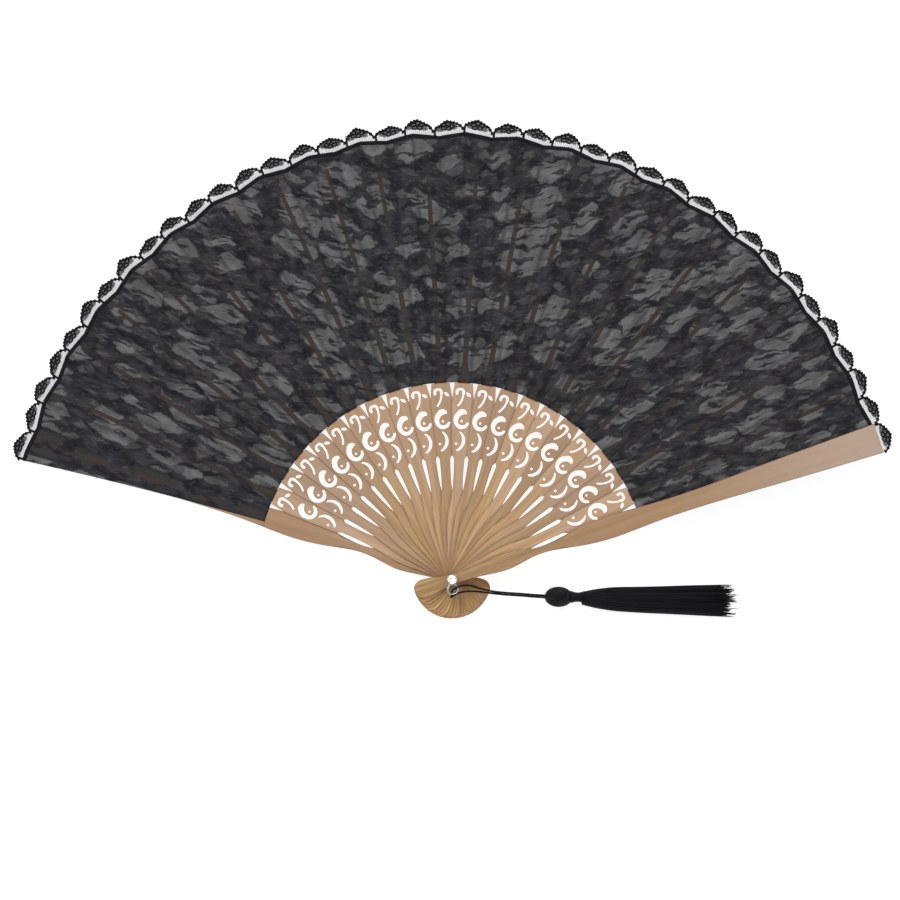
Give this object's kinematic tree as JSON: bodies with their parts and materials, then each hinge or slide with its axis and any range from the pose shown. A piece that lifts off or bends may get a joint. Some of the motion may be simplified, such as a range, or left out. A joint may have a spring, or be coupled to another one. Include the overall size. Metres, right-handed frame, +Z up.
{
  "type": "hand fan",
  "caption": "Folding hand fan, open and flat: carved bamboo sticks between two guards, a black lace leaf with a scalloped edge, a rivet with a set stone, and a tassel on a cord.",
  "frame": {"origin": "on the rivet's axis, in the plane that the rear guard's flat back rests on", "axes": "+Z up along the rivet's axis from the rear guard to the front guard, +Y through the middle of the open leaf, +X towards the front guard"},
  "size_m": [0.3637, 0.2089, 0.0209],
  "materials": {
    "bamboo_guard": "smooth, satin",
    "bamboo_stick": "smooth, laser cut, edges browned",
    "black_lace": "floral lace over sheer chiffon",
    "silver_metal": "polished",
    "clear_stone": "faceted",
    "black_thread": "silky rayon thread"
  },
  "bodies": {
    "rear_guard": {"rear_guard": "bamboo_guard", "leaf_01": "black_lace", "rivet": "silver_metal", "rivet_collar": "silver_metal", "stone_setting": "silver_metal", "stone": "clear_stone"},
    "stick_01": {"stick_01": "bamboo_stick", "leaf_02": "black_lace"},
    "stick_02": {"stick_02": "bamboo_stick", "leaf_03": "black_lace"},
    "stick_03": {"stick_03": "bamboo_stick", "leaf_04": "black_lace"},
    "stick_04": {"stick_04": "bamboo_stick", "leaf_05": "black_lace"},
    "stick_05": {"stick_05": "bamboo_stick", "leaf_06": "black_lace"},
    "stick_06": {"stick_06": "bamboo_stick", "leaf_07": "black_lace"},
    "stick_07": {"stick_07": "bamboo_stick", "leaf_08": "black_lace"},
    "stick_08": {"stick_08": "bamboo_stick", "leaf_09": "black_lace"},
    "stick_09": {"stick_09": "bamboo_stick", "leaf_10": "black_lace"},
    "stick_10": {"stick_10": "bamboo_stick", "leaf_11": "black_lace"},
    "stick_11": {"stick_11": "bamboo_stick", "leaf_12": "black_lace"},
    "stick_12": {"stick_12": "bamboo_stick", "leaf_13": "black_lace"},
    "stick_13": {"stick_13": "bamboo_stick", "leaf_14": "black_lace"},
    "stick_14": {"stick_14": "bamboo_stick", "leaf_15": "black_lace"},
    "stick_15": {"stick_15": "bamboo_stick", "leaf_16": "black_lace"},
    "stick_16": {"stick_16": "bamboo_stick", "leaf_17": "black_lace"},
    "stick_17": {"stick_17": "bamboo_stick", "leaf_18": "black_lace"},
    "stick_18": {"stick_18": "bamboo_stick", "leaf_19": "black_lace"},
    "stick_19": {"stick_19": "bamboo_stick", "leaf_20": "black_lace"},
    "stick_20": {"stick_20": "bamboo_stick", "leaf_21": "black_lace"},
    "front_guard": {"front_guard": "bamboo_guard"},
    "tassel": {"tassel_ring": "silver_metal", "tassel_cord": "black_thread", "tassel_ball": "black_thread", "tassel_neck": "black_thread", "tassel_skirt": "black_thread"}
  },
  "joints": [
    {"name": "fold_stick_01", "type": "hinge", "parent": "rear_guard", "child": "stick_01", "pos_m": [0, 0, 0.009], "axis": [0, 0, 1], "range_deg": [0, 6.83]},
    {"name": "fold_stick_02", "type": "hinge", "parent": "stick_01", "child": "stick_02", "pos_m": [0, 0, 0.009], "axis": [0, 0, 1], "range_deg": [0, 6.83]},
    {"name": "fold_stick_03", "type": "hinge", "parent": "stick_02", "child": "stick_03", "pos_m": [0, 0, 0.009], "axis": [0, 0, 1], "range_deg": [0, 6.83]},
    {"name": "fold_stick_04", "type": "hinge", "parent": "stick_03", "child": "stick_04", "pos_m": [0, 0, 0.009], "axis": [0, 0, 1], "range_deg": [0, 6.83]},
    {"name": "fold_stick_05", "type": "hinge", "parent": "stick_04", "child": "stick_05", "pos_m": [0, 0, 0.009], "axis": [0, 0, 1], "range_deg": [0, 6.83]},
    {"name": "fold_stick_06", "type": "hinge", "parent": "stick_05", "child": "stick_06", "pos_m": [0, 0, 0.009], "axis": [0, 0, 1], "range_deg": [0, 6.83]},
    {"name": "fold_stick_07", "type": "hinge", "parent": "stick_06", "child": "stick_07", "pos_m": [0, 0, 0.009], "axis": [0, 0, 1], "range_deg": [0, 6.83]},
    {"name": "fold_stick_08", "type": "hinge", "parent": "stick_07", "child": "stick_08", "pos_m": [0, 0, 0.009], "axis": [0, 0, 1], "range_deg": [0, 6.83]},
    {"name": "fold_stick_09", "type": "hinge", "parent": "stick_08", "child": "stick_09", "pos_m": [0, 0, 0.009], "axis": [0, 0, 1], "range_deg": [0, 6.83]},
    {"name": "fold_stick_10", "type": "hinge", "parent": "stick_09", "child": "stick_10", "pos_m": [0, 0, 0.009], "axis": [0, 0, 1], "range_deg": [0, 6.83]},
    {"name": "fold_stick_11", "type": "hinge", "parent": "stick_10", "child": "stick_11", "pos_m": [0, 0, 0.009], "axis": [0, 0, 1], "range_deg": [0, 6.83]},
    {"name": "fold_stick_12", "type": "hinge", "parent": "stick_11", "child": "stick_12", "pos_m": [0, 0, 0.009], "axis": [0, 0, 1], "range_deg": [0, 6.83]},
    {"name": "fold_stick_13", "type": "hinge", "parent": "stick_12", "child": "stick_13", "pos_m": [0, 0, 0.009], "axis": [0, 0, 1], "range_deg": [0, 6.83]},
    {"name": "fold_stick_14", "type": "hinge", "parent": "stick_13", "child": "stick_14", "pos_m": [0, 0, 0.009], "axis": [0, 0, 1], "range_deg": [0, 6.83]},
    {"name": "fold_stick_15", "type": "hinge", "parent": "stick_14", "child": "stick_15", "pos_m": [0, 0, 0.009], "axis": [0, 0, 1], "range_deg": [0, 6.83]},
    {"name": "fold_stick_16", "type": "hinge", "parent": "stick_15", "child": "stick_16", "pos_m": [0, 0, 0.009], "axis": [0, 0, 1], "range_deg": [0, 6.83]},
    {"name": "fold_stick_17", "type": "hinge", "parent": "stick_16", "child": "stick_17", "pos_m": [0, 0, 0.009], "axis": [0, 0, 1], "range_deg": [0, 6.83]},
    {"name": "fold_stick_18", "type": "hinge", "parent": "stick_17", "child": "stick_18", "pos_m": [0, 0, 0.009], "axis": [0, 0, 1], "range_deg": [0, 6.83]},
    {"name": "fold_stick_19", "type": "hinge", "parent": "stick_18", "child": "stick_19", "pos_m": [0, 0, 0.009], "axis": [0, 0, 1], "range_deg": [0, 6.83]},
    {"name": "fold_stick_20", "type": "hinge", "parent": "stick_19", "child": "stick_20", "pos_m": [0, 0, 0.009], "axis": [0, 0, 1], "range_deg": [0, 6.83]},
    {"name": "fold_front_guard", "type": "hinge", "parent": "stick_20", "child": "front_guard", "pos_m": [0, 0, 0.009], "axis": [0, 0, 1], "range_deg": [0, 6.83]},
    {"name": "tassel_swivel", "type": "hinge", "parent": "rear_guard", "child": "tassel", "pos_m": [0, 0, 0.0185], "axis": [0, 0, 1], "range_deg": [-150, 10]}
  ],
  "couplings": [
    {"joint": "fold_stick_02", "follows": "fold_stick_01", "ratio": 1},
    {"joint": "fold_stick_03", "follows": "fold_stick_01", "ratio": 1},
    {"joint": "fold_stick_04", "follows": "fold_stick_01", "ratio": 1},
    {"joint": "fold_stick_05", "follows": "fold_stick_01", "ratio": 1},
    {"joint": "fold_stick_06", "follows": "fold_stick_01", "ratio": 1},
    {"joint": "fold_stick_07", "follows": "fold_stick_01", "ratio": 1},
    {"joint": "fold_stick_08", "follows": "fold_stick_01", "ratio": 1},
    {"joint": "fold_stick_09", "follows": "fold_stick_01", "ratio": 1},
    {"joint": "fold_stick_10", "follows": "fold_stick_01", "ratio": 1},
    {"joint": "fold_stick_11", "follows": "fold_stick_01", "ratio": 1},
    {"joint": "fold_stick_12", "follows": "fold_stick_01", "ratio": 1},
    {"joint": "fold_stick_13", "follows": "fold_stick_01", "ratio": 1},
    {"joint": "fold_stick_14", "follows": "fold_stick_01", "ratio": 1},
    {"joint": "fold_stick_15", "follows": "fold_stick_01", "ratio": 1},
    {"joint": "fold_stick_16", "follows": "fold_stick_01", "ratio": 1},
    {"joint": "fold_stick_17", "follows": "fold_stick_01", "ratio": 1},
    {"joint": "fold_stick_18", "follows": "fold_stick_01", "ratio": 1},
    {"joint": "fold_stick_19", "follows": "fold_stick_01", "ratio": 1},
    {"joint": "fold_stick_20", "follows": "fold_stick_01", "ratio": 1},
    {"joint": "fold_front_guard", "follows": "fold_stick_01", "ratio": 1}
  ]
}
